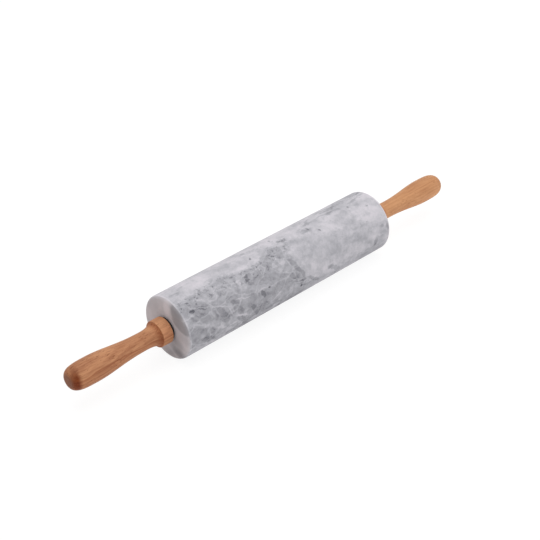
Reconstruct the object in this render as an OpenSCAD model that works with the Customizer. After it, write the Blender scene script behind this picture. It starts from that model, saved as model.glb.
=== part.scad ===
/* [Marble barrel] */
// Diameter of the marble barrel
barrel_d = 60; // [50:0.5:72]
// Length of the marble barrel between its two end faces
barrel_l = 254; // [200:1:320]
// Radius that rounds the outer edge of each end
barrel_edge_r = 3; // [1:0.5:7]
// Diameter of the core-drilled bore through the marble
barrel_bore_d = 16; // [13:0.5:18]
// Chamfer that breaks the edge at each mouth of the bore
bore_mouth_c = 0.8; // [0.2:0.1:1.5]

/* [Bearing bushes] */
// Length of the plug that is glued into the marble
bush_plug_l = 24; // [12:1:40]
// Diameter of the flange that covers the mouth of the bore
bush_flange_d = 21; // [20:0.2:28]
// Thickness of the flange
bush_flange_t = 1.4; // [0.8:0.1:3]
// Chamfer round the rim of the flange
bush_rim_c = 0.3; // [0.1:0.05:0.5]
// Lead-in chamfer at the inner end of the plug
bush_lead_c = 1; // [0.4:0.1:1.6]
// Chamfer at each mouth of the running bore
bush_mouth_c = 0.4; // [0.1:0.1:0.8]
// Number of glue grooves round the plug
bush_grooves = 3; // [1:1:5]

/* [Axle] */
// Diameter of the shank that the bushes run on
axle_d = 8; // [6.5:0.5:9.5]
// Diameter of the turned-down end that screws into a handle
stub_d = 6; // [4:0.5:6.5]
// Length of each turned-down end
stub_l = 24; // [14:1:32]
// Chamfer on the shoulders and on the tips of the axle
axle_c = 0.5; // [0.2:0.1:0.8]

/* [Thrust washers] */
// Outer diameter of the steel washer
washer_d = 18.5; // [14:0.5:21]
// Thickness of the washer
washer_t = 0.8; // [0.3:0.1:1.5]

/* [Handles] */
// Length of a handle from the back of its collar to its tip
handle_l = 101.4; // [85:0.2:125]
// Diameter of the collar that faces the marble
collar_d = 24.6; // [22:0.2:30]
// Length of the collar
collar_l = 10.4; // [6:0.2:14]
// Radius that softens the two rims of the collar
collar_edge_r = 0.4; // [0.2:0.1:1.5]
// Diameter at the slimmest point of the neck
neck_d = 16.4; // [14:0.2:20]
// Distance from the back of the collar to the slimmest point
neck_at = 23; // [18:0.2:30]
// Depth of the step where the cove starts below the rim of the collar
cove_step = 0.2; // [0.1:0.1:1.5]
// Diameter at the fullest point of the grip
belly_d = 23.6; // [21:0.2:28]
// Distance from the back of the collar to the fullest point
belly_at = 77.5; // [60:0.5:80]
// How late the grip swells between neck and belly, 1 is evenly
swell_lag = 1.2; // [1:0.05:1.6]
// How full the rounded end is, 2 is an ellipse and more is squarer
end_fullness = 3.7; // [2:0.1:4.5]

/* [Threaded inserts] */
// Outer diameter of the brass insert
insert_d = 10; // [8.5:0.5:12]
// Length of the insert
insert_l = 20; // [10:1:28]
// Number of glue grooves round the insert
insert_grooves = 4; // [1:1:6]
// Chamfer at both ends of the insert
insert_c = 0.5; // [0.2:0.1:0.8]

/* [Clearances] */
// Radial gap between the axle and the running bore of a bush
running_gap = 0.08; // [0.03:0.01:0.1]
// Radial gap that glue fills round a bush and round an insert
glue_gap = 0.05; // [0.03:0.01:0.1]
// Radial gap between the turned-down end and the insert
thread_gap = 0.05; // [0.03:0.01:0.1]
// Radial gap between the axle and a washer
washer_gap = 0.2; // [0.1:0.05:0.4]
// Axial gap between each flange and its washer
end_float = 0.2; // [0.1:0.05:0.6]
// Width of a glue groove
groove_w = 1.6; // [0.8:0.1:2.4]
// Depth of a glue groove
groove_depth = 0.5; // [0.2:0.1:0.8]
// Free depth behind the axle's tip in the drilled handle
drill_spare = 4; // [1:0.5:10]
// Radial gap between the axle's tip and the drilled handle
drill_gap = 0.3; // [0.1:0.1:0.8]

/* [Hidden] */
$fn = 96;

// Sides of the object along the X axis
LEFT = -1;
RIGHT = 1;

// Stations along X, counted outwards from an end face of the marble
washer_x = bush_flange_t + end_float;
collar_x = washer_x + washer_t;
// Distance from the middle of the object to the back of a collar
shoulder_x = barrel_l / 2 + collar_x;

// Half angle of the drilled hole's pointed bottom
drill_half_angle = 59;
// Overshoot that lets a cut run clear of a surface
over = 1;
// Steps that draw each curved stretch of an outline
edge_steps = 6;
cove_steps = 12;
swell_steps = 18;
end_steps = 16;

marble_colour = [0.80, 0.80, 0.83];
beech_colour = [0.78, 0.56, 0.38];
nylon_colour = [0.10, 0.10, 0.10];
steel_colour = [0.70, 0.71, 0.73];
brass_colour = [0.80, 0.66, 0.34];

// Points of a quarter arc, each as [place along X, radius from the axis]
function quarter_arc(centre, r, from) = [
    for (i = [0:edge_steps])
        let (a = from + 90 * i / edge_steps)
        centre + r * [cos(a), sin(a)]
];

// Points of evenly spread V-shaped grooves between two stations, low to high
function groove_points(low, high, surface_r, count) = [
    for (i = [1:count])
        let (mid = low + (high - low) * i / (count + 1))
        each [
            [mid - groove_w / 2, surface_r],
            [mid, surface_r - groove_depth],
            [mid + groove_w / 2, surface_r]
        ]
];

// Radius of the cove, a quarter ellipse from the collar down to the neck
function cove_r(u) =
    neck_d / 2 + (collar_d / 2 - cove_step - neck_d / 2) * (1 - sqrt(1 - (1 - u) * (1 - u)));

// Radius of the grip between neck and belly, a cosine swell
function swell_r(u) =
    neck_d / 2 + (belly_d - neck_d) / 2 * (1 - cos(180 * pow(u, swell_lag))) / 2;

// Radius of the rounded end, a superellipse
function end_r(u) = belly_d / 2 * pow(1 - pow(u, end_fullness), 1 / end_fullness);

// A solid turned about the X axis from points of [place along X, radius]
module turned(points) {
    rotate([0, 90, 0])
        rotate_extrude()
            polygon([for (p = points) [p[1], p[0]]]);
}

// A drilled hole along +X with its diameter and both ends given
module drilled(x0, x1, d) {
    translate([x0, 0, 0])
        rotate([0, 90, 0])
            cylinder(d = d, h = x1 - x0);
}

// Moves a piece that is drawn outwards from X = 0 to its own end of the barrel
module at_end(side) {
    rotate([0, 0, side == LEFT ? 180 : 0])
        translate([barrel_l / 2, 0, 0])
            children();
}

// The barrel: a rounded marble cylinder with a bore right through
module marble_barrel() {
    half_l = barrel_l / 2;
    edge_x = half_l - barrel_edge_r;
    edge_r = barrel_d / 2 - barrel_edge_r;
    color(marble_colour)
        difference() {
            turned(concat(
                [[half_l, 0]],
                quarter_arc([edge_x, edge_r], barrel_edge_r, 0),
                quarter_arc([-edge_x, edge_r], barrel_edge_r, 90),
                [[-half_l, 0]]
            ));
            drilled(-half_l - over, half_l + over, barrel_bore_d);
            for (side = [LEFT, RIGHT])
                at_end(side) bore_mouth();
        }
}

// The chamfer at the mouth of the marble's bore, cut from X = 0 inwards
module bore_mouth() {
    bore_r = barrel_bore_d / 2;
    turned([
        [over, 0],
        [over, bore_r + bore_mouth_c + over],
        [-bore_mouth_c, bore_r],
        [-bore_mouth_c, 0]
    ]);
}

// The steel axle: a plain shank with a turned-down end in each handle
module axle_rod() {
    shank_r = axle_d / 2;
    stub_r = stub_d / 2;
    tip_x = shoulder_x + stub_l;
    right_half = [
        [shoulder_x - axle_c, shank_r],
        [shoulder_x, shank_r - axle_c],
        [shoulder_x, stub_r],
        [tip_x - axle_c, stub_r],
        [tip_x, stub_r - axle_c],
        [tip_x, 0]
    ];
    left_half = [
        for (i = [len(right_half) - 1:-1:0])
            [-right_half[i][0], right_half[i][1]]
    ];
    color(steel_colour)
        turned(concat(left_half, right_half));
}

// A flanged bush: its plug is glued in the marble and its bore runs on the axle
module bearing_bush() {
    run_r = axle_d / 2 + running_gap;
    plug_r = barrel_bore_d / 2 - glue_gap;
    flange_r = bush_flange_d / 2;
    color(nylon_colour)
        turned(concat(
            [
                [-bush_plug_l + bush_mouth_c, run_r],
                [-bush_plug_l, run_r + bush_mouth_c],
                [-bush_plug_l, plug_r - bush_lead_c],
                [-bush_plug_l + bush_lead_c, plug_r]
            ],
            groove_points(-bush_plug_l + bush_lead_c, 0, plug_r, bush_grooves),
            [
                [0, plug_r],
                [0, flange_r],
                [bush_flange_t - bush_rim_c, flange_r],
                [bush_flange_t, flange_r - bush_rim_c],
                [bush_flange_t, run_r + bush_mouth_c],
                [bush_flange_t - bush_mouth_c, run_r]
            ]
        ));
}

// A flat steel ring between the flange of a bush and the back of a collar
module thrust_washer() {
    hole_r = axle_d / 2 + washer_gap;
    color(steel_colour)
        turned([
            [washer_x, hole_r],
            [washer_x, washer_d / 2],
            [collar_x, washer_d / 2],
            [collar_x, hole_r]
        ]);
}

// A turned beech handle with its collar towards the marble, drilled from the back
module handle() {
    collar_r = collar_d / 2;
    front_x = collar_x + collar_l;
    neck_x = collar_x + neck_at;
    belly_x = collar_x + belly_at;
    tip_x = collar_x + handle_l;
    hole_end_x = collar_x + max(stub_l, insert_l) + drill_spare;
    hole_d = stub_d + 2 * drill_gap;
    color(beech_colour)
        difference() {
            turned(concat(
                [[tip_x, 0]],
                [
                    for (i = [end_steps - 1:-1:1])
                        let (u = sin(90 * i / end_steps))
                        [belly_x + (tip_x - belly_x) * u, end_r(u)]
                ],
                [
                    for (i = [swell_steps:-1:1])
                        let (u = i / swell_steps)
                        [neck_x + (belly_x - neck_x) * u, swell_r(u)]
                ],
                [
                    for (i = [cove_steps:-1:0])
                        let (u = 1 - cos(90 * i / cove_steps))
                        [front_x + (neck_x - front_x) * u, cove_r(u)]
                ],
                quarter_arc([front_x - collar_edge_r, collar_r - collar_edge_r], collar_edge_r, 0),
                quarter_arc([collar_x + collar_edge_r, collar_r - collar_edge_r], collar_edge_r, 90),
                [[collar_x, 0]]
            ));
            drilled(collar_x - over, collar_x + insert_l, insert_d + 2 * glue_gap);
            turned([
                [collar_x, 0],
                [collar_x, hole_d / 2],
                [hole_end_x, hole_d / 2],
                [hole_end_x + hole_d / 2 / tan(drill_half_angle), 0]
            ]);
        }
}

// A brass insert, threaded for the axle's end and glued flush into the collar
module threaded_insert() {
    bore_r = stub_d / 2 + thread_gap;
    outer_r = insert_d / 2;
    end_x = collar_x + insert_l;
    color(brass_colour)
        turned(concat(
            [
                [collar_x, bore_r],
                [collar_x, outer_r - insert_c],
                [collar_x + insert_c, outer_r]
            ],
            groove_points(collar_x + insert_c, end_x - insert_c, outer_r, insert_grooves),
            [
                [end_x - insert_c, outer_r],
                [end_x, outer_r - insert_c],
                [end_x, bore_r]
            ]
        ));
}

marble_barrel();
axle_rod();
at_end(LEFT) bearing_bush();  // left_bearing_bush
at_end(RIGHT) bearing_bush();  // right_bearing_bush
at_end(LEFT) thrust_washer();  // left_thrust_washer
at_end(RIGHT) thrust_washer();  // right_thrust_washer
at_end(LEFT) handle();  // left_handle
at_end(RIGHT) handle();  // right_handle
at_end(LEFT) threaded_insert();  // left_threaded_insert
at_end(RIGHT) threaded_insert();  // right_threaded_insert
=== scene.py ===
import math

import bpy
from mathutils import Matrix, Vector


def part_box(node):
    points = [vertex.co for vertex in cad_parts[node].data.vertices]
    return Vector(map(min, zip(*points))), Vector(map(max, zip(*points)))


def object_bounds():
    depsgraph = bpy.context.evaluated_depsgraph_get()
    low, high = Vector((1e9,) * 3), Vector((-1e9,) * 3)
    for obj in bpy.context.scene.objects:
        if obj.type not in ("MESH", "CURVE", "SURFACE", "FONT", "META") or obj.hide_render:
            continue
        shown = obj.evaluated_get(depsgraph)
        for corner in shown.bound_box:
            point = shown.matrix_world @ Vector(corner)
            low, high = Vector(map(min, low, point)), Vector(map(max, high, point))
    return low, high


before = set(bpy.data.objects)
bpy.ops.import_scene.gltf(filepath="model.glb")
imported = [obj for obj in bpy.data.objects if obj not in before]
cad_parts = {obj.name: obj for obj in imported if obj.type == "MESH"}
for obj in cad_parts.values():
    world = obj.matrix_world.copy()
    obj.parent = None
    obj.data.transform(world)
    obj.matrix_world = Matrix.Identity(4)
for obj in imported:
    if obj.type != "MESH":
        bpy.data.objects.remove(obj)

cad_box = [list(corner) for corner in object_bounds()]

MM = 0.001
WHITE = (1.0, 1.0, 1.0, 1.0)
FULL_TO_NONE = (1.0, 0.0)
# The scale, and the shift or turn, that leave a vector as it is
UNCHANGED = (1.0, 1.0, 1.0)
NOWHERE = (0.0, 0.0, 0.0)

# The photograph's camera, placed by two angles and a distance from the barrel's centre
AZIMUTH = math.radians(-43.76)
ELEVATION = math.radians(34.27)
DISTANCE = 1.1076
# Its lens: a focal length in pixels of a square picture, the sensor in millimetres, and the
# nearest and farthest that it sees, in metres
FOCAL_PIXELS = 1209.4
PICTURE_PIXELS = 540.0
SENSOR = 36.0
NEAREST, FARTHEST = 0.01, 50.0
# How far the barrel's centre lies to the right of the picture's middle and above it
CENTRE_RIGHT = 3.35 * MM
CENTRE_UP = -0.42 * MM


def make_camera():
    """A camera at the photograph's viewing angle, with the barrel's centre a little off its middle."""
    sin_a, cos_a = math.sin(AZIMUTH), math.cos(AZIMUTH)
    sin_e, cos_e = math.sin(ELEVATION), math.cos(ELEVATION)
    forward = Vector((-sin_a * cos_e, cos_a * cos_e, -sin_e))
    right = Vector((cos_a, sin_a, 0.0))
    up = right.cross(forward)
    data = bpy.data.cameras.new("photo_camera")
    data.sensor_width = SENSOR
    data.lens = FOCAL_PIXELS / PICTURE_PIXELS * SENSOR
    data.clip_start = NEAREST
    data.clip_end = FARTHEST
    camera = bpy.data.objects.new("photo_camera", data)
    camera.location = -DISTANCE * forward - CENTRE_RIGHT * right - CENTRE_UP * up
    camera.rotation_euler = forward.to_track_quat("-Z", "Y").to_euler()
    bpy.context.scene.collection.objects.link(camera)
    bpy.context.scene.camera = camera


class Graph:
    """A material, and short calls that add nodes to it and join them."""

    def __init__(self, name):
        self.material = bpy.data.materials.new(name)
        self.material.use_nodes = True
        self.tree = self.material.node_tree
        self.shader = self.tree.nodes["Principled BSDF"]

    def node(self, kind, inputs=None, **settings):
        made = self.tree.nodes.new(kind)
        for key, value in settings.items():
            setattr(made, key, value)
        for key, value in (inputs or {}).items():
            self.put(made.inputs[key], value)
        return made

    def put(self, socket, value):
        """Joins a socket to another node's output, or sets it to a plain value."""
        if isinstance(value, bpy.types.NodeSocket):
            self.tree.links.new(value, socket)
        else:
            socket.default_value = value

    def finished(self, **inputs):
        """Gives the shader its inputs, by name with _ for a space, and hands over the material."""
        for key, value in inputs.items():
            self.put(self.shader.inputs[key.replace("_", " ")], value)
        return self.material

    def math(self, operation, a, b=0.0, clamp=False):
        return self.node("ShaderNodeMath", {0: a, 1: b}, operation=operation, use_clamp=clamp).outputs[0]

    def add(self, first, *others):
        for other in others:
            first = self.math("ADD", first, other)
        return first

    def less(self, a, b):
        return self.math("SUBTRACT", a, b)

    def times(self, first, *others):
        for other in others:
            first = self.math("MULTIPLY", first, other)
        return first

    def away(self, value, centre=0.0):
        """How far a value lies from a centre, to either side."""
        return self.math("ABSOLUTE", self.less(value, centre))

    def limit(self, value):
        """The value, kept between 0 and 1."""
        return self.math("ADD", value, 0.0, clamp=True)

    def vector_math(self, operation, inputs, output="Vector"):
        return self.node("ShaderNodeVectorMath", inputs, operation=operation).outputs[output]

    def ramp(self, value, span, result=(0.0, 1.0)):
        """A smooth change from the first result to the second while the value crosses the span."""
        limits = {"From Min": span[0], "From Max": span[1], "To Min": result[0], "To Max": result[1]}
        limits["Value"] = value
        return self.node("ShaderNodeMapRange", limits, interpolation_type="SMOOTHSTEP").outputs[0]

    def mix(self, factor, a, b, blend="MIX"):
        sockets = {0: factor, 6: a, 7: b}
        return self.node("ShaderNodeMix", sockets, data_type="RGBA", blend_type=blend).outputs[2]

    def tint(self, factor, colour, shade):
        """The colour multiplied by a shade, where the factor is 1."""
        return self.mix(factor, colour, shade, "MULTIPLY")

    def moved(self, vector, scale=UNCHANGED, shift=NOWHERE, turn=NOWHERE, kind="POINT"):
        """The vector scaled, turned and shifted, or with the kind TEXTURE the other way about."""
        sockets = {"Vector": vector, "Scale": scale, "Location": shift, "Rotation": turn}
        return self.node("ShaderNodeMapping", sockets, vector_type=kind).outputs[0]

    def place(self, scale=UNCHANGED, shift=NOWHERE, turn=NOWHERE):
        """A point's place on the object, in metres, moved in the same way."""
        where = self.node("ShaderNodeTexCoord").outputs["Object"]
        return self.moved(where, scale, shift, turn)

    def lean(self, vector, tilt, scale):
        """The vector tilted in degrees across the barrel's broad side, and then drawn out."""
        return self.moved(vector, scale, turn=(0.0, math.radians(tilt), 0.0))

    def split(self, vector):
        """The three parts of a vector."""
        return self.node("ShaderNodeSeparateXYZ", {0: vector}).outputs

    def plane(self, across, up):
        """A flat vector, so that what is drawn on it runs straight through the stone."""
        return self.node("ShaderNodeCombineXYZ", {0: across, 1: up}).outputs[0]

    def noise(self, vector, scale, detail=4.0, rough=0.5, kind="Fac"):
        sockets = {"Vector": vector, "Scale": scale, "Detail": detail, "Roughness": rough}
        return self.node("ShaderNodeTexNoise", sockets).outputs[kind]

    def warp(self, vector, scale, amount, detail=3.0):
        """The vector pushed about by noise, by up to half the amount in each direction."""
        cloud = self.noise(vector, scale, detail, kind="Color")
        push = self.vector_math("SUBTRACT", {0: cloud, 1: (0.5, 0.5, 0.5)})
        push = self.vector_math("SCALE", {0: push, "Scale": amount})
        return self.vector_math("ADD", {0: vector, 1: push})

    def edges(self, vector, scale):
        """The distance to the nearest border between cells."""
        sockets = {"Vector": vector, "Scale": scale}
        return self.node("ShaderNodeTexVoronoi", sockets, feature="DISTANCE_TO_EDGE").outputs["Distance"]

    def cells(self, vector, scale, smooth, channel):
        """A chance value for each cell, blended a little across its borders."""
        sockets = {"Vector": vector, "Scale": scale, "Smoothness": smooth}
        colour = self.node("ShaderNodeTexVoronoi", sockets, feature="SMOOTH_F1").outputs["Color"]
        return self.node("ShaderNodeSeparateColor", {0: colour}).outputs[channel]

    def marks(self, vector, rows, core=0.35, reach=1.25):
        """Soft ovals from a list: each is full inside core times its size and gone at reach times it."""
        total = 0.0
        for across, up, length, width, tilt, strength in rows:
            shift = (across * MM, up * MM, 0.0)
            size = (length * MM * reach / 2, width * MM * reach / 2, 1.0)
            turn = (0.0, 0.0, math.radians(tilt))
            place = {"Vector": self.moved(vector, size, shift, turn, "TEXTURE")}
            fade = self.node("ShaderNodeTexGradient", place, gradient_type="SPHERICAL")
            oval = self.ramp(fade.outputs["Fac"], (0.0, 1.0 - core / reach), (0.0, strength))
            total = self.math("MAXIMUM", total, oval)
        return total

    def colours(self, value, stops):
        """A colour picked along a list of (place, colour) stops."""
        made = self.node("ShaderNodeValToRGB", {"Fac": value})
        band = made.color_ramp
        while len(band.elements) < len(stops):
            band.elements.new(0.5)
        for element, (place, colour) in zip(band.elements, stops):
            element.position = place
            element.color = colour
        return made.outputs[0]

    def bump(self, height, strength, depth):
        sockets = {"Height": height, "Strength": strength, "Distance": depth}
        return self.node("ShaderNodeBump", sockets).outputs[0]


def srgb(red, green, blue):
    """A colour written as 0 to 255 screen values, as the linear colour a shader takes."""
    def linear(value):
        value = value / 255.0
        return value / 12.92 if value <= 0.04045 else ((value + 0.055) / 1.055) ** 2.4
    return (linear(red), linear(green), linear(blue), 1.0)


# The shader's specular level on the stone and on the oiled wood
SATIN_REFLECTION = 0.20

# The middle span of a noise's values
MIDDLE = (0.3, 0.7)

# Stations along the axis, in metres outwards from the barrel's middle
BARREL_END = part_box("marble_barrel")[1].x
COLLAR_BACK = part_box("right_handle")[0].x
HANDLE_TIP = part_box("right_handle")[1].x
COLLAR_LENGTH = 10.4 * MM
COLLAR_FRONT = COLLAR_BACK + COLLAR_LENGTH

# The broad side of the barrel that the photograph shows is centred this far above its front
FACING = math.radians(43.0)

# Marks on that side. Each row has its place along the barrel and across the side, its length and
# width, all in millimetres, its tilt in degrees and its strength.
DARK_FRAGMENTS = [
    (-115, -4.2, 9, 6, -15, 0.6), (-115, 2.6, 5.5, 3.6, -10, 1), (-106, -24.5, 20, 3.4, -14, 0.7),
    (-105.5, -8, 14, 9, -45, 0.5), (-105, 1.6, 11, 2.8, -22, 0.65), (-101.5, -20, 9, 4.6, -25, 0.5),
    (-90.5, -8.5, 15, 9.5, -35, 0.6), (-85.5, -15.5, 13, 9, -40, 0.65),
    (-71.5, -7.8, 11, 4.6, -22, 0.6), (-69.5, -15.5, 14, 6.5, -38, 0.6),
    (-67.5, -23, 12, 3.6, -22, 0.7), (-58, -0.3, 3.4, 4, 0, 0.5), (-53, -14, 13, 8, -35, 0.2),
    (-51, -22, 13, 5, -48, 0.75), (-49, -1, 7.5, 2.6, -18, 0.75), (-42, 2.6, 14, 1.8, 12, 0.5),
    (-40, -13.3, 8, 4.4, -60, 1), (-31, -16.5, 13, 2.6, -25, 0.35), (-24, -6.2, 4, 2.6, -20, 0.6),
    (-14, 3.5, 7, 3.6, -50, 0.45), (-1, -13, 14, 5.5, -22, 0.42), (1.6, -2, 11, 6, -58, 0.5),
    (4.5, -9, 9, 5.5, -45, 0.75), (9, -14.5, 9, 4, -62, 0.6), (22, -23, 20, 3, -24, 0.5),
    (50, -24, 22, 3, -20, 0.45), (106.5, -21.5, 8, 4.5, 45, 0.6), (116, -11.3, 5, 3, 0, 0.45),
]
WHITE_VEINS = [
    (-113, -10.6, 22, 2.2, -22, 0.7), (-106, 2.2, 24, 1.2, -20, 0.9), (-93, -20.4, 27, 3.4, -23, 0.8),
    (-87, -5.2, 24, 1.4, -23, 0.9), (-77.5, -14, 11, 2.2, -64, 0.8), (-68, 5, 30, 1.2, -14, 0.6),
    (-64.5, -21.4, 23, 1.6, -18, 0.9), (-61.5, -8.4, 29, 1.3, -14, 0.7), (-45, -2.4, 20, 1, -21, 0.4),
    (-34, 6, 13, 0.8, 86, 0.7), (-28, -9, 19, 0.8, 115, 0.45), (-6, 5.5, 26, 1.1, -16, 0.5),
    (0, -16.6, 26, 1, -16, 0.8), (4, -6.4, 14, 0.7, -22, 0.6),
]
# Broad pale patches, some of them between the fragments
PALE_PATCHES = [
    (-114, -19.5, 15, 8, -20, 0.35), (-99, -15.5, 24, 8, -15, 0.7), (-96, -8, 14, 4, -78, 0.5),
    (-82, 24, 62, 13, 0, 0.35), (-80, 9.5, 24, 9, 0, 0.7), (-57, 0, 13, 10, -20, 0.9),
    (-55, 11, 18, 6, 0, 0.4), (-48, -16, 30, 9, -20, 0.45), (-46, 4.5, 12, 8, 0, 0.4),
    (-36, -23, 18, 7, -10, 0.35), (-28, -5, 24, 11, -25, 0.3), (-18, 9, 18, 10, -20, 0.5),
    (-7, 14, 22, 6, -8, 0.5), (38, -22, 12, 7, -20, 0.4), (42, -4, 26, 16, -20, 0.35),
    (66, 8, 22, 10, -10, 0.35), (79, 20.5, 18, 6, 0, 0.45), (86, -21, 28, 14, 0, 0.6),
    (107, -15, 20, 17, 20, 0.55),
]
PITS = [
    (-115.5, 3, 2.4, 1.8, 0, 0.6), (-33.5, 19, 2.8, 1.8, 20, 1), (-31.5, -10.8, 3.4, 2, 20, 1),
    (-0.5, 25.6, 3, 1.4, 0, 0.9), (4.5, 20.4, 5, 1.2, -10, 0.5), (6.3, -23.4, 3, 1.8, -20, 0.9),
    (11, 20.8, 3, 1.4, -10, 0.7), (38.5, 19.3, 4.6, 1.8, -30, 0.8), (48, 13.3, 3.2, 2.2, -20, 0.8),
    (94, 19.6, 2.8, 2, -20, 1), (100, -1, 2.4, 1, -20, 0.6), (111.5, 12.4, 3.4, 1.2, -10, 0.8),
]
# Broad faint clouds
SOFT_CLOUDS = [
    (-112, 21.5, 14, 3, 14, 0.5), (-108, 1, 34, 15, -8, 0.75), (-105, 12, 22, 7, 0, 0.7),
    (-70, 24.5, 18, 6, -8, 0.5), (-40, 19.5, 30, 9, 4, 1.2), (-36, 15.5, 13, 9, -10, 1),
    (-1, 4, 18, 8, -20, 0.8), (8, 20.5, 14, 4, -8, 0.9), (15, -24, 34, 8, -20, 0.7),
    (16, -14, 18, 9, -20, 0.8), (22, -4, 34, 16, -12, 0.35), (22, 12, 24, 9, -20, 0.8),
    (28, 27.5, 64, 8, 2, 0.9), (30, -28.2, 130, 6, 0, 0.8), (36, 20, 18, 7, -10, 0.6),
    (48, 13.5, 8, 5, -20, 0.8), (50, 16, 16, 7, -30, 0.8), (51, 21, 22, 11, 0, 1.2),
    (58, -9, 30, 14, -10, 0.25), (72, 26.5, 60, 9, 4, 0.6), (83, -5, 22, 16, -30, 0.7),
    (86, 0.5, 34, 15, -15, 1.1), (86, 6.5, 20, 10, 20, 1.5), (96, -18, 9, 6, -10, 0.6),
    (96, 16, 24, 9, -20, 0.6), (100, 25, 44, 10, 4, 1), (106, -23.5, 12, 6, 30, 0.4),
    (106, 18, 28, 11, -8, 1.4), (123.5, -13, 6, 14, 10, 1.3),
]
# Where fine dark streaks run up to the right, and where they run down
RISING_STREAKS = [
    (-112, 23, 26, 7, 12, 0.5), (-30, 26, 54, 6, 2, 0.55), (-15, 17, 28, 8, 8, 0.5),
    (5, 21.5, 22, 6, -8, 0.9), (34, 19, 16, 7, -10, 0.65), (44, 23.5, 26, 9, 20, 0.8),
    (76, 26, 60, 10, 4, 0.75), (112, 25, 30, 9, 8, 0.9),
]
FALLING_STREAKS = [
    (-80, -25.5, 80, 7, -4, 0.8), (-35, -24, 44, 8, -10, 0.6), (12, -22, 46, 9, -18, 1),
    (50, -25, 28, 8, -16, 0.9), (98, -26, 40, 6, -6, 0.8), (112, -20, 20, 10, 20, 0.5),
]
# Darker bands, darker shades and paler streaks on the cut ends, placed to the side and up
CUT_BANDS = [
    (14, 21.5, 22, 16, -75, 0.9), (20.5, 12.6, 27, 13.5, -16, 1),
]
CUT_SHADES = [
    (5, -23.5, 20, 12, 0, 0.45), (14.5, -18.5, 26, 16, -20, 1), (15, -9, 20, 18, 0, 0.62),
    (23, -1, 18, 16, 0, 0.3),
]
CUT_PALE = [
    (-24, 2, 20, 8, 90, 0.3), (1, 22, 26, 9, 84, 1.1), (24, -3, 18, 9, -60, 0.4),
]

# How far each kind of mark moves the stone's tone, which runs from 0, the palest, to 1
CLOUD_DEPTH, SPECK_DEPTH, PIT_DEPTH = 0.20, 0.26, 0.5
RISING_DEPTH, FALLING_DEPTH = 0.42, 0.30
# The rim's lift is a painted highlight
VEIN_LIFT, RIM_PAINTED_HIGHLIGHT = 0.30, 0.20
CUT_BAND_DEPTH, CUT_SHADE_DEPTH, CUT_PALE_LIFT = 0.38, 0.49, 0.16
# How much smoother the rounded rim is than the rest
RIM_POLISH = 0.1

# The area where the stone is broken: its upper and its far border, and how the upper one waves,
# rises towards the far end and dips
BROKEN_TOP = (11.5 * MM, 16.5 * MM)
BROKEN_END = (-8 * MM, 10 * MM)
BORDER_WAVES = 14 * MM
RISE_ALONG, RISE_HEIGHT = (-30 * MM, 4 * MM), 7 * MM
DIP_CENTRE, DIP_REACH, DIP_DEPTH = -44 * MM, (6 * MM, 30 * MM), 3 * MM
# The band of specks just inside its upper border
SPECK_BAND, SPECK_BAND_WIDTH = 9.5 * MM, (3 * MM, 9 * MM)
# Calm stone is greyer towards the bottom, and along a stripe
LOW_TO_HIGH = (-16 * MM, 14 * MM)
STRIPE, STRIPE_WIDTH = 20 * MM, (2 * MM, 9 * MM)

# Where the painted highlight along the rounded rim of each end starts, and where the cut face does
RIM_STARTS = (BARREL_END - 3.0 * MM, BARREL_END - 2.3 * MM)
CUT_STARTS = (BARREL_END - 1.6 * MM, BARREL_END - 1.0 * MM)

# The spans of a noise's values over which the stone's tone changes
CLOUD_SPAN = (0.36, 0.64)
GRAIN_SPAN = (0.36, 0.66)

# The stone's colours from its palest tone, 0, to its darkest, 1, and the warmer shade of a cut end
MARBLE_COLOURS = [
    (0.0, srgb(224, 218, 225)), (0.25, srgb(207, 204, 210)), (0.5, srgb(182, 181, 187)),
    (0.75, srgb(154, 153, 159)), (1.0, srgb(100, 100, 107)),
]
CUT_WARMTH = (1.0, 0.955, 0.925, 1.0)


def marble_material():
    """Pale grey marble: clouds, darker fragments healed by white veins, a specked band and small pits."""
    g = Graph("marble")
    whole = g.place()
    side = g.place(turn=(FACING, 0.0, 0.0))
    soft = g.warp(side, scale=70.0, amount=7 * MM, detail=2.0)
    rough = g.warp(soft, scale=260.0, amount=2.6 * MM)
    streaked = g.lean(rough, tilt=-24.0, scale=(0.62, 0.8, 1.0))
    clouds = g.noise(streaked, scale=46.0, detail=7.0, rough=0.6)

    height, near, broken = broken_area(g, side, soft)
    ground = ground_tone(g, g.split(soft)[2], height, broken, clouds, rough, streaked)
    facing = g.warp(g.warp(side, scale=130.0, amount=2.8 * MM, detail=2.0), scale=420.0, amount=2.2 * MM)
    facing = g.plane(g.split(facing)[0], g.split(facing)[2])
    tone = drawn_tone(g, ground, facing, rough)
    tone = specks_and_veins(g, tone, facing, height, near, broken, rough, streaked)
    crystals = g.noise(whole, scale=900.0, detail=2.0, rough=0.6)
    pits = g.marks(facing, PITS)
    tone = g.add(tone, g.ramp(crystals, MIDDLE, (-0.03, 0.03)))
    tone = g.limit(g.add(tone, g.times(pits, PIT_DEPTH)))

    outward = g.away(g.split(whole)[0])
    cut_share = g.ramp(outward, CUT_STARTS)
    rim = g.times(g.ramp(outward, RIM_STARTS), g.ramp(outward, CUT_STARTS, FULL_TO_NONE))
    # A painted highlight along the rounded rim of each end
    tone = g.limit(g.less(tone, g.times(rim, RIM_PAINTED_HIGHLIGHT)))
    tone = g.mix(cut_share, tone, cut_tone(g, whole, clouds))
    colour = g.tint(cut_share, g.colours(tone, MARBLE_COLOURS), CUT_WARMTH)
    polish = g.less(g.ramp(clouds, MIDDLE, (0.56, 0.68)), g.times(rim, RIM_POLISH))
    surface = g.bump(g.less(1.0, pits), strength=0.4, depth=0.4 * MM)
    return g.finished(
        Base_Color=colour, Roughness=polish, Normal=surface, Specular_IOR_Level=SATIN_REFLECTION)


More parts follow.
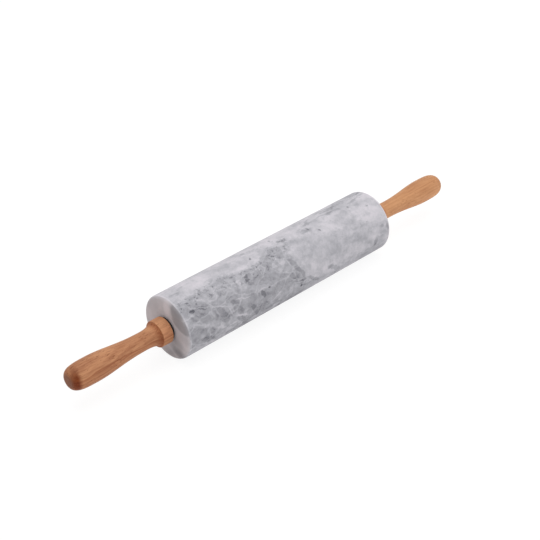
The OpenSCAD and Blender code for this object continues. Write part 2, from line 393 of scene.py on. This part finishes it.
def broken_area(g, side, soft):
    """Three values: height on the side, bent so that the broken area's wavy top is level, and then
    how far a point belongs to that area's end of the barrel, and to the area itself.
    """
    along, up = g.split(soft)[0], g.split(soft)[2]
    waves = g.noise(g.warp(side, scale=20.0, amount=20 * MM), scale=16.0, detail=2.0)
    height = g.add(up, g.times(g.less(waves, 0.5), BORDER_WAVES))
    height = g.less(height, g.ramp(along, RISE_ALONG, (0.0, RISE_HEIGHT)))
    height = g.add(height, g.ramp(g.away(along, DIP_CENTRE), DIP_REACH, (DIP_DEPTH, 0.0)))
    below = g.ramp(height, BROKEN_TOP, FULL_TO_NONE)
    near = g.ramp(g.less(along, g.times(g.away(up), 0.5)), BROKEN_END, FULL_TO_NONE)
    return height, near, g.times(below, near)


def ground_tone(g, up, height, broken, clouds, rough, streaked):
    """Calm stone in soft clouds, and in the broken area darker fragments of many greys."""
    grainy = g.noise(rough, scale=230.0, rough=0.68)
    calm = g.add(
        g.ramp(clouds, CLOUD_SPAN, (0.08, 0.39)),
        g.ramp(height, LOW_TO_HIGH, (0.14, 0.0)),
        g.ramp(grainy, GRAIN_SPAN, (-0.06, 0.07)),
        g.ramp(g.away(up, STRIPE), STRIPE_WIDTH, (0.08, 0.0)))
    filled = g.add(
        g.ramp(g.cells(streaked, scale=105.0, smooth=0.12, channel=0), (0.1, 0.9), (0.51, 0.68)),
        g.ramp(g.cells(streaked, scale=300.0, smooth=0.25, channel=1), (0.0, 1.0), (-0.05, 0.05)),
        g.ramp(grainy, GRAIN_SPAN, (-0.06, 0.09)),
        g.ramp(clouds, CLOUD_SPAN, (-0.05, 0.05)))
    return g.add(g.times(calm, g.less(1.0, broken)), g.times(filled, broken))


def drawn_tone(g, tone, facing, rough):
    """The ground with its large dark fragments, soft clouds and two runs of fine dark streaks."""
    dark_grey = g.add(g.times(tone, 0.30), 0.69)
    tone = g.mix(g.marks(facing, DARK_FRAGMENTS, core=0.80, reach=1.08), tone, dark_grey)
    tone = g.add(tone, g.times(g.marks(facing, SOFT_CLOUDS, core=0.0, reach=1.3), CLOUD_DEPTH))
    runs = ((20.0, RISING_STREAKS, RISING_DEPTH), (-16.0, FALLING_STREAKS, FALLING_DEPTH))
    for tilt, places, depth in runs:
        fine = g.noise(g.lean(rough, tilt, (0.22, 1.0, 1.0)), scale=260.0, rough=0.65)
        streaks = g.times(g.ramp(fine, (0.44, 0.62)), g.marks(facing, places, core=0.3, reach=1.2))
        tone = g.add(tone, g.times(streaks, depth))
    return tone


def specks_and_veins(g, tone, facing, height, near, broken, rough, streaked):
    """Dark specks in a band along the broken area's border, and white lines that heal the breaks."""
    band = g.ramp(g.away(height, SPECK_BAND), SPECK_BAND_WIDTH, FULL_TO_NONE)
    specks = g.ramp(g.noise(rough, scale=330.0, detail=2.0, rough=0.6), (0.52, 0.64))
    tone = g.add(tone, g.times(specks, band, near, SPECK_DEPTH))
    lines = g.ramp(g.edges(streaked, scale=62.0), (0.01, 0.05), (0.5, 0.0))
    drawn = g.marks(facing, WHITE_VEINS + PALE_PATCHES, core=0.3, reach=1.15)
    white = g.math("MAXIMUM", drawn, g.times(lines, broken))
    return g.less(tone, g.times(white, VEIN_LIFT))


def cut_tone(g, whole, clouds):
    """The flat cut ends: soft clouds, darker bands and shades, and a few paler streaks."""
    parts = g.split(g.warp(whole, scale=90.0, amount=3 * MM))
    face = g.plane(g.times(parts[1], -1.0), parts[2])
    tone = g.ramp(clouds, MIDDLE, (0.25, 0.42))
    tone = g.add(tone, g.times(g.marks(face, CUT_BANDS, core=0.70, reach=1.12), CUT_BAND_DEPTH))
    tone = g.add(tone, g.times(g.marks(face, CUT_SHADES, core=0.1, reach=1.2), CUT_SHADE_DEPTH))
    return g.less(tone, g.times(g.marks(face, CUT_PALE, core=0.3, reach=1.2), CUT_PALE_LIFT))


# Where the wood changes along a handle, in metres outwards from the barrel's middle: the painted shade
# in the cove next to the collar, the painted shade on the underside, the shaft past the cove, and the
# dark ring near the tip, which is partly end grain and partly painted shade
COVE_STARTS = (COLLAR_FRONT - 0.1 * MM, COLLAR_FRONT + 0.2 * MM)
COVE_ENDS = (COLLAR_FRONT + 0.2 * MM, COLLAR_FRONT + 7.2 * MM)
PAINTED_UNDERSIDE_STARTS = (COLLAR_FRONT - 0.8 * MM, COLLAR_FRONT + 0.2 * MM)
SHAFT_STARTS = (150 * MM, 160 * MM)
DARK_TIP_STARTS = (HANDLE_TIP - 7.3 * MM, HANDLE_TIP - 2.3 * MM)
# The edge of the painted shade on the underside arches over the axis: where its peak is, how far it
# falls to each side, and how high it is at the peak and at its feet
SHADE_EDGE_PEAK = 199 * MM
SHADE_EDGE_REACH = (0.0, 46 * MM)
SHADE_EDGE_HEIGHTS = (4.5 * MM, 1.2 * MM)
# How much that edge wavers, how wide the dark painted line along it is, and how sharply the painted
# shade on the underside starts below it
SHADE_EDGE_WAVES = 2 * MM
SHADE_EDGE_WIDTH = (0.1 * MM, 1 * MM)
PAINTED_UNDERSIDE_EDGE = (-0.3 * MM, 0.5 * MM)

# What the wood's colour is multiplied by: painted shade on the underside, a dark painted line on its
# edge, painted shade in the cove, and the dark ring at the tip, partly end grain and partly painted shade
PAINTED_UNDERSIDE_SHADE = (0.90, 0.83, 0.80, 1.0)
SHADE_EDGE_LINE = (0.82, 0.72, 0.68, 1.0)
PAINTED_COVE_SHADE = (0.72, 0.57, 0.49, 1.0)
DARK_TIP_SHADE = (0.38, 0.17, 0.06, 1.0)
# How much the dark ring on the tip wavers, and how much stronger its painted shade is in front
DARK_TIP_WAVES = 4 * MM
PAINTED_SHADE_IN_FRONT = 0.63
# The end grain's colour, and how much of it a fully darkened tip shows
END_GRAIN, END_GRAIN_SHARE = srgb(130, 84, 62), 0.85
# The slope of the growth rings against the axis, in radians, their spacing, and how they waver
RING_SLOPE = (0.0, 0.035, 0.02)
GROWTH_RINGS = {"Scale": 105.0, "Distortion": 3.2, "Detail": 3.0, "Detail Scale": 0.6}
# A strip of painted light is full over this share of its spread, and a little bluer than the rest
LIGHT_STRIP_CORE = 0.13
LIGHT_STRIP_TINT = (1.0, 1.03, 1.08)
# Nearer to the axis than this, a point counts less and less as in front or behind
LEAST_RADIUS = 1 * MM


def beech_material(name, light, dark, fleck, heart, underside_shaded, tip_darkened, strip):
    """Turned and oiled beech: light and dark grain, flecks, and a strip of painted light along it.

    The growth rings centre on the heart, a shift from the axis in metres. The two shares for the
    underside and the tip, from 0 to 1, say how plainly the painted shade on the underside with its dark
    line, and the dark ring and end grain at the tip, show.
    """
    g = Graph(name)
    parts = g.split(g.place())
    outward = g.away(parts[0])
    waved = g.warp(g.place(scale=(0.35, 1.0, 1.0)), scale=70.0, amount=3.5 * MM, detail=2.0)
    broad = g.noise(waved, scale=95.0, detail=3.0, rough=0.55)
    fibres = g.noise(g.place(scale=(0.035, 1.0, 1.0)), scale=950.0, rough=0.65)
    wobble = g.noise(g.place(scale=(1.0, 0.3, 0.3)), scale=60.0, detail=2.0)
    flecks = short_flecks(g)

    colour = g.mix(grain_tone(g, heart, broad, fibres), light, dark)
    colour = g.mix(g.times(flecks, 0.7), colour, fleck)
    colour = painted_underside_and_cove_shade(g, colour, parts[2], outward, wobble, underside_shaded)
    colour = painted_light_strip(g, colour, parts[2], outward, **strip)
    colour = dark_tip(g, colour, parts[1], outward, broad, wobble, tip_darkened)
    return g.finished(
        Base_Color=colour, Roughness=g.ramp(fibres, MIDDLE, (0.50, 0.64)),
        Normal=g.bump(g.less(fibres, flecks), strength=0.18, depth=0.2 * MM),
        Specular_IOR_Level=SATIN_REFLECTION)


def grain_tone(g, heart, broad, fibres):
    """How dark the wood is: broad clouds, growth rings and fine fibres together."""
    sockets = {"Vector": g.place(turn=RING_SLOPE, shift=heart), **GROWTH_RINGS}
    rings = g.node("ShaderNodeTexWave", sockets, wave_type="RINGS", rings_direction="X")
    return g.limit(g.add(
        g.ramp(broad, (0.32, 0.68), (0.0, 0.55)),
        g.ramp(rings.outputs["Fac"], (0.0, 1.0), (0.0, 0.28)),
        g.ramp(fibres, (0.35, 0.65), (-0.12, 0.30))))


def short_flecks(g):
    """The short dark flecks of beech, thicker in some patches than in others."""
    short = g.noise(g.place(scale=(0.20, 1.0, 1.0)), scale=1150.0, detail=1.0)
    patches = g.noise(g.place(scale=(0.5, 1.0, 1.0)), scale=75.0, detail=2.0)
    return g.times(g.ramp(short, (0.60, 0.70)), g.ramp(patches, (0.42, 0.6), (0.25, 1.0)))


def painted_underside_and_cove_shade(g, colour, up, outward, wobble, underside_shaded):
    """Painted shade: on the underside below an arching edge, as a dark line on that edge, and in the cove.
    """
    arch = g.ramp(g.away(outward, SHADE_EDGE_PEAK), SHADE_EDGE_REACH, SHADE_EDGE_HEIGHTS)
    height = g.add(g.less(up, arch), g.times(g.less(wobble, 0.5), SHADE_EDGE_WAVES))
    underside_shade = g.ramp(height, PAINTED_UNDERSIDE_EDGE, FULL_TO_NONE)
    underside_shade = g.times(underside_shade, g.ramp(outward, PAINTED_UNDERSIDE_STARTS, (0.0, underside_shaded)))
    # Painted shade on the underside of the handle
    colour = g.tint(underside_shade, colour, PAINTED_UNDERSIDE_SHADE)
    shade_edge_line = g.times(g.ramp(g.away(height), SHADE_EDGE_WIDTH, FULL_TO_NONE), underside_shaded)
    # A dark painted line along the edge of that shade
    colour = g.tint(shade_edge_line, colour, SHADE_EDGE_LINE)
    cove = g.times(g.ramp(outward, COVE_STARTS), g.ramp(outward, COVE_ENDS, FULL_TO_NONE))
    # Painted shade in the cove next to the collar
    return g.tint(cove, colour, PAINTED_COVE_SHADE)


def painted_light_strip(g, colour, up, outward, centre, spread, reach, gain):
    """A painted light strip centred above or below the axis, from the collar out to its reach."""
    strip = g.ramp(g.away(up, centre), (spread * LIGHT_STRIP_CORE, spread), FULL_TO_NONE)
    strip = g.times(strip, g.ramp(outward, (reach, reach + 0.5 * MM), FULL_TO_NONE))
    # Painted light along the strip
    return g.tint(strip, colour, (*(gain * part for part in LIGHT_STRIP_TINT), 1.0))


def dark_tip(g, colour, across, outward, broad, wobble, tip_darkened):
    """Dark ring by the tip, partly end grain and partly painted shade, strongest in front; greyer end
    grain on the tip.
    """
    radius = g.vector_math("LENGTH", {0: g.place(scale=(0.0, 1.0, 1.0))}, output="Value")
    backward = g.math("DIVIDE", across, g.math("MAXIMUM", radius, LEAST_RADIUS))
    # Painted shade makes the dark ring strongest in front
    front = g.ramp(g.less(wobble, g.times(backward, PAINTED_SHADE_IN_FRONT)), (0.60, 1.15), (0.25, 1.0))
    ring = g.ramp(g.add(outward, g.times(broad, DARK_TIP_WAVES)), DARK_TIP_STARTS, (0.0, tip_darkened))
    colour = g.tint(g.times(ring, front), colour, DARK_TIP_SHADE)
    facing = g.away(g.split(g.node("ShaderNodeTexCoord").outputs["Normal"])[0])
    facing = g.times(facing, g.ramp(outward, SHAFT_STARTS))
    return g.mix(g.ramp(facing, (0.84, 0.99), (0.0, END_GRAIN_SHARE * tip_darkened)), colour, END_GRAIN)


def plastic_material():
    """Black moulded nylon with a fine grain."""
    g = Graph("black_nylon")
    grain = g.noise(g.place(), scale=2500.0, detail=2.0)
    return g.finished(
        Base_Color=g.mix(grain, srgb(24, 24, 25), srgb(36, 35, 36)),
        Roughness=g.ramp(grain, MIDDLE, (0.45, 0.6)),
        Normal=g.bump(grain, strength=0.1, depth=0.1 * MM))


def turned_metal(name, light, dark):
    """Metal with the fine rings that turning leaves along its axis."""
    g = Graph(name)
    rings = g.noise(g.place(scale=(1.0, 0.02, 0.02)), scale=3000.0, detail=3.0)
    return g.finished(
        Base_Color=g.mix(rings, light, dark), Metallic=1.0,
        Roughness=g.ramp(rings, MIDDLE, (0.25, 0.4)),
        Normal=g.bump(rings, strength=0.1, depth=0.05 * MM))


def dress(node, material):
    """Gives a carried-over piece its material."""
    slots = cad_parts[node].data.materials
    slots.clear()
    slots.append(material)


def dress_all():
    """Every piece gets its finish."""
    nylon = plastic_material()
    steel = turned_metal("turned_steel", srgb(188, 189, 193), srgb(158, 160, 165))
    brass = turned_metal("turned_brass", srgb(214, 180, 104), srgb(188, 150, 80))
    # Near handle: painted underside shade and painted light on the collar. Far handle: painted light below
    # the axis
    near_beech = beech_material(
        "beech_near", light=srgb(207, 149, 108), dark=srgb(171, 114, 80), fleck=srgb(130, 76, 49),
        heart=(0.0, 4 * MM, 16 * MM), underside_shaded=1.0, tip_darkened=1.0,
        strip={"centre": 5 * MM, "spread": 7.8 * MM, "reach": COLLAR_FRONT - 0.4 * MM, "gain": 1.31})
    far_beech = beech_material(
        "beech_far", light=srgb(213, 157, 112), dark=srgb(190, 133, 92), fleck=srgb(160, 103, 68),
        heart=(0.0, -10 * MM, -14 * MM), underside_shaded=0.0, tip_darkened=0.2,
        strip={"centre": -9 * MM, "spread": 15 * MM, "reach": HANDLE_TIP, "gain": 1.20})
    dress("marble_barrel", marble_material())
    dress("left_handle", near_beech)
    dress("right_handle", far_beech)
    dress("axle_rod", steel)
    for side in ("left", "right"):
        dress(side + "_bearing_bush", nylon)
        dress(side + "_thrust_washer", steel)
        dress(side + "_threaded_insert", brass)


# The floor's half width in metres, its pale grey and its dullness
FLOOR_HALF = 6.0
FLOOR_GREY = (0.9, 0.9, 0.9, 1.0)
FLOOR_ROUGHNESS = 0.9
# How bright the floor's own even glow is, and how much of what the camera sees there is that glow
FLOOR_GLOW = 1.10
GLOW_SHARE = 0.8
# The sky's strength as it lights the object, and as the camera sees it
SKY_LIGHT, SKY_SEEN = 0.61, 1.0


def seen_directly(tree):
    """1 for the camera's rays and for mirrored or refracted ones, 0 for the rays that light the object."""
    path = tree.nodes.new("ShaderNodeLightPath")
    total = path.outputs["Is Camera Ray"]
    for kind in ("Is Glossy Ray", "Is Transmission Ray"):
        either = tree.nodes.new("ShaderNodeMath")
        either.operation = "MAXIMUM"
        tree.links.new(total, either.inputs[0])
        tree.links.new(path.outputs[kind], either.inputs[1])
        total = either.outputs[0]
    return total


def make_floor():
    """A pale floor under the barrel, which the object shades. Most of what the camera sees is its glow."""
    height = cad_box[0][2]
    mesh = bpy.data.meshes.new("floor")
    corners = [(FLOOR_HALF * x, FLOOR_HALF * y, height) for x, y in ((-1, -1), (1, -1), (1, 1), (-1, 1))]
    mesh.from_pydata(corners, [], [(0, 1, 2, 3)])
    floor = bpy.data.objects.new("floor", mesh)
    bpy.context.scene.collection.objects.link(floor)
    g = Graph("floor")
    mesh.materials.append(g.finished(Base_Color=FLOOR_GREY, Roughness=FLOOR_ROUGHNESS))
    glow = g.node("ShaderNodeEmission", {"Color": WHITE, "Strength": FLOOR_GLOW})
    share = g.times(seen_directly(g.tree), GLOW_SHARE)
    both = g.node("ShaderNodeMixShader", {0: share, 1: g.shader.outputs[0], 2: glow.outputs[0]})
    g.put(g.tree.nodes["Material Output"].inputs["Surface"], both.outputs[0])


def make_light():
    """A wide soft box overhead, a weaker one in front, and an even pale sky."""
    world = bpy.data.worlds.new("studio")
    world.use_nodes = True
    bpy.context.scene.world = world
    tree = world.node_tree
    background = tree.nodes["Background"]
    background.inputs["Color"].default_value = WHITE
    strength = tree.nodes.new("ShaderNodeMapRange")
    tree.links.new(seen_directly(tree), strength.inputs["Value"])
    strength.inputs["To Min"].default_value = SKY_LIGHT
    strength.inputs["To Max"].default_value = SKY_SEEN
    tree.links.new(strength.outputs[0], background.inputs["Strength"])
    soft_box("key_light", place=(0.1, 0.05, 1.5), size=1.4, power=9.0)
    soft_box("front_light", place=(0.8, -1.0, 0.55), size=0.9, power=2.0)


def soft_box(name, place, size, power):
    """A square area light that faces the object's centre; metres and watts."""
    data = bpy.data.lights.new(name, "AREA")
    data.size = size
    data.energy = power
    lamp = bpy.data.objects.new(name, data)
    lamp.location = place
    lamp.rotation_euler = (-Vector(place)).to_track_quat("-Z", "Y").to_euler()
    bpy.context.scene.collection.objects.link(lamp)


make_camera()
dress_all()
make_floor()
make_light()
bpy.context.scene.view_settings.view_transform = "Standard"
